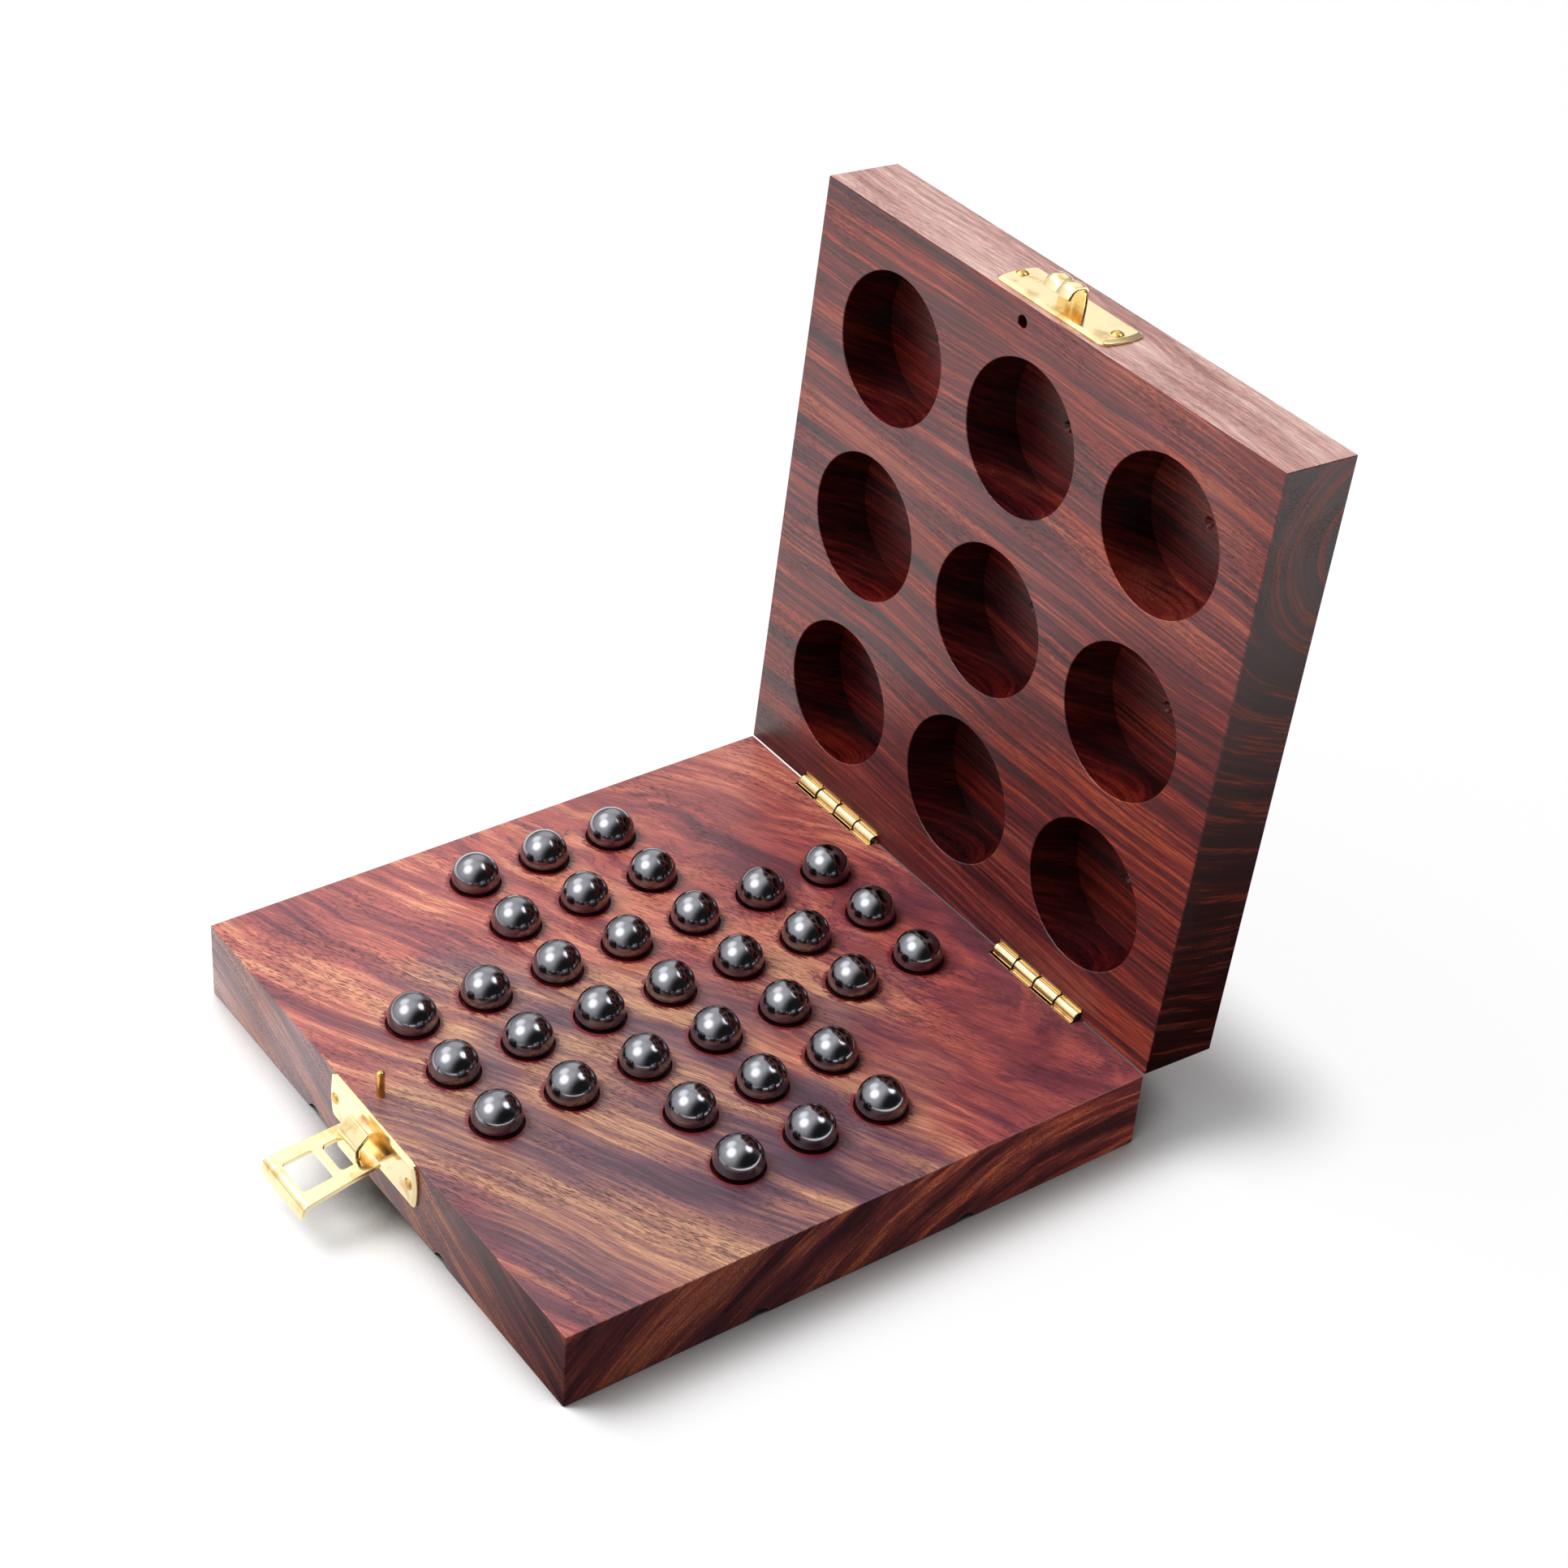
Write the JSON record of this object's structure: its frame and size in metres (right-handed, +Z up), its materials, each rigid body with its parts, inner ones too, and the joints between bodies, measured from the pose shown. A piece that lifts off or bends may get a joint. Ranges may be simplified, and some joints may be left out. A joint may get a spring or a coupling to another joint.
{
  "type": "tic-tac-toe and solitaire board",
  "caption": "Square hinged hardwood game board: solitaire holes with steel balls in the base, round tic-tac-toe pockets in the lid, brass hinges and hasp.",
  "frame": {"origin": "middle of the flat underside of the base, in the plane it rests on", "axes": "+X along the hinge and catch edges, to the right seen from the catch; +Y from the catch edge to the hinges; +Z up"},
  "size_m": [0.127, 0.1704, 0.1491],
  "materials": {
    "base_wood": "waxed rosewood, pink to orange brown with purple figure",
    "lid_wood": "waxed rosewood, dark red brown with orange streaks",
    "brass": "polished sheet brass",
    "steel": "polished bearing steel"
  },
  "bodies": {
    "base": {"base_board": "base_wood", "locating_pin": "brass", "left_hinge_base_leaf": "brass", "right_hinge_base_leaf": "brass", "left_hinge_pin": "brass", "right_hinge_pin": "brass", "left_hinge_base_nails": "brass", "right_hinge_base_nails": "brass", "catch_base_plate": "brass", "catch_base_nails": "brass"},
    "lid": {"lid_board": "lid_wood", "left_hinge_lid_leaf": "brass", "right_hinge_lid_leaf": "brass", "left_hinge_lid_nails": "brass", "right_hinge_lid_nails": "brass", "catch_lid_plate": "brass", "catch_lid_nails": "brass"},
    "hasp": {"hasp": "brass"},
    "ball_01": {"ball_01": "steel"},
    "ball_02": {"ball_02": "steel"},
    "ball_03": {"ball_03": "steel"},
    "ball_04": {"ball_04": "steel"},
    "ball_05": {"ball_05": "steel"},
    "ball_06": {"ball_06": "steel"},
    "ball_07": {"ball_07": "steel"},
    "ball_08": {"ball_08": "steel"},
    "ball_09": {"ball_09": "steel"},
    "ball_10": {"ball_10": "steel"},
    "ball_11": {"ball_11": "steel"},
    "ball_12": {"ball_12": "steel"},
    "ball_13": {"ball_13": "steel"},
    "ball_14": {"ball_14": "steel"},
    "ball_15": {"ball_15": "steel"},
    "ball_16": {"ball_16": "steel"},
    "ball_17": {"ball_17": "steel"},
    "ball_18": {"ball_18": "steel"},
    "ball_19": {"ball_19": "steel"},
    "ball_20": {"ball_20": "steel"},
    "ball_21": {"ball_21": "steel"},
    "ball_22": {"ball_22": "steel"},
    "ball_23": {"ball_23": "steel"},
    "ball_24": {"ball_24": "steel"},
    "ball_25": {"ball_25": "steel"},
    "ball_26": {"ball_26": "steel"},
    "ball_27": {"ball_27": "steel"},
    "ball_28": {"ball_28": "steel"},
    "ball_29": {"ball_29": "steel"},
    "ball_30": {"ball_30": "steel"},
    "ball_31": {"ball_31": "steel"},
    "ball_32": {"ball_32": "steel"},
    "ball_33": {"ball_33": "steel"}
  },
  "joints": [
    {"name": "lid_hinge", "type": "hinge", "parent": "base", "child": "lid", "pos_m": [0, 0.0636, 0.0166], "axis": [-1, 0, 0], "range_deg": [-69, 86.5]},
    {"name": "hasp_hinge", "type": "hinge", "parent": "base", "child": "hasp", "pos_m": [0, -0.0671, 0.0111], "axis": [-1, 0, 0], "range_deg": [-24, 98]},
    {"name": "ball_01_lift", "type": "slide", "parent": "base", "child": "ball_01", "axis": [0, 0, 1], "range_m": [0, 0.03]},
    {"name": "ball_02_lift", "type": "slide", "parent": "base", "child": "ball_02", "axis": [0, 0, 1], "range_m": [0, 0.03]},
    {"name": "ball_03_lift", "type": "slide", "parent": "base", "child": "ball_03", "axis": [0, 0, 1], "range_m": [0, 0.03]},
    {"name": "ball_04_lift", "type": "slide", "parent": "base", "child": "ball_04", "axis": [0, 0, 1], "range_m": [0, 0.03]},
    {"name": "ball_05_lift", "type": "slide", "parent": "base", "child": "ball_05", "axis": [0, 0, 1], "range_m": [0, 0.03]},
    {"name": "ball_06_lift", "type": "slide", "parent": "base", "child": "ball_06", "axis": [0, 0, 1], "range_m": [0, 0.03]},
    {"name": "ball_07_lift", "type": "slide", "parent": "base", "child": "ball_07", "axis": [0, 0, 1], "range_m": [0, 0.03]},
    {"name": "ball_08_lift", "type": "slide", "parent": "base", "child": "ball_08", "axis": [0, 0, 1], "range_m": [0, 0.03]},
    {"name": "ball_09_lift", "type": "slide", "parent": "base", "child": "ball_09", "axis": [0, 0, 1], "range_m": [0, 0.03]},
    {"name": "ball_10_lift", "type": "slide", "parent": "base", "child": "ball_10", "axis": [0, 0, 1], "range_m": [0, 0.03]},
    {"name": "ball_11_lift", "type": "slide", "parent": "base", "child": "ball_11", "axis": [0, 0, 1], "range_m": [0, 0.03]},
    {"name": "ball_12_lift", "type": "slide", "parent": "base", "child": "ball_12", "axis": [0, 0, 1], "range_m": [0, 0.03]},
    {"name": "ball_13_lift", "type": "slide", "parent": "base", "child": "ball_13", "axis": [0, 0, 1], "range_m": [0, 0.03]},
    {"name": "ball_14_lift", "type": "slide", "parent": "base", "child": "ball_14", "axis": [0, 0, 1], "range_m": [0, 0.03]},
    {"name": "ball_15_lift", "type": "slide", "parent": "base", "child": "ball_15", "axis": [0, 0, 1], "range_m": [0, 0.03]},
    {"name": "ball_16_lift", "type": "slide", "parent": "base", "child": "ball_16", "axis": [0, 0, 1], "range_m": [0, 0.03]},
    {"name": "ball_17_lift", "type": "slide", "parent": "base", "child": "ball_17", "axis": [0, 0, 1], "range_m": [0, 0.03]},
    {"name": "ball_18_lift", "type": "slide", "parent": "base", "child": "ball_18", "axis": [0, 0, 1], "range_m": [0, 0.03]},
    {"name": "ball_19_lift", "type": "slide", "parent": "base", "child": "ball_19", "axis": [0, 0, 1], "range_m": [0, 0.03]},
    {"name": "ball_20_lift", "type": "slide", "parent": "base", "child": "ball_20", "axis": [0, 0, 1], "range_m": [0, 0.03]},
    {"name": "ball_21_lift", "type": "slide", "parent": "base", "child": "ball_21", "axis": [0, 0, 1], "range_m": [0, 0.03]},
    {"name": "ball_22_lift", "type": "slide", "parent": "base", "child": "ball_22", "axis": [0, 0, 1], "range_m": [0, 0.03]},
    {"name": "ball_23_lift", "type": "slide", "parent": "base", "child": "ball_23", "axis": [0, 0, 1], "range_m": [0, 0.03]},
    {"name": "ball_24_lift", "type": "slide", "parent": "base", "child": "ball_24", "axis": [0, 0, 1], "range_m": [0, 0.03]},
    {"name": "ball_25_lift", "type": "slide", "parent": "base", "child": "ball_25", "axis": [0, 0, 1], "range_m": [0, 0.03]},
    {"name": "ball_26_lift", "type": "slide", "parent": "base", "child": "ball_26", "axis": [0, 0, 1], "range_m": [0, 0.03]},
    {"name": "ball_27_lift", "type": "slide", "parent": "base", "child": "ball_27", "axis": [0, 0, 1], "range_m": [0, 0.03]},
    {"name": "ball_28_lift", "type": "slide", "parent": "base", "child": "ball_28", "axis": [0, 0, 1], "range_m": [0, 0.03]},
    {"name": "ball_29_lift", "type": "slide", "parent": "base", "child": "ball_29", "axis": [0, 0, 1], "range_m": [0, 0.03]},
    {"name": "ball_30_lift", "type": "slide", "parent": "base", "child": "ball_30", "axis": [0, 0, 1], "range_m": [0, 0.03]},
    {"name": "ball_31_lift", "type": "slide", "parent": "base", "child": "ball_31", "axis": [0, 0, 1], "range_m": [0, 0.03]},
    {"name": "ball_32_lift", "type": "slide", "parent": "base", "child": "ball_32", "axis": [0, 0, 1], "range_m": [0, 0.03]},
    {"name": "ball_33_lift", "type": "slide", "parent": "base", "child": "ball_33", "axis": [0, 0, 1], "range_m": [0, 0.03]}
  ]
}
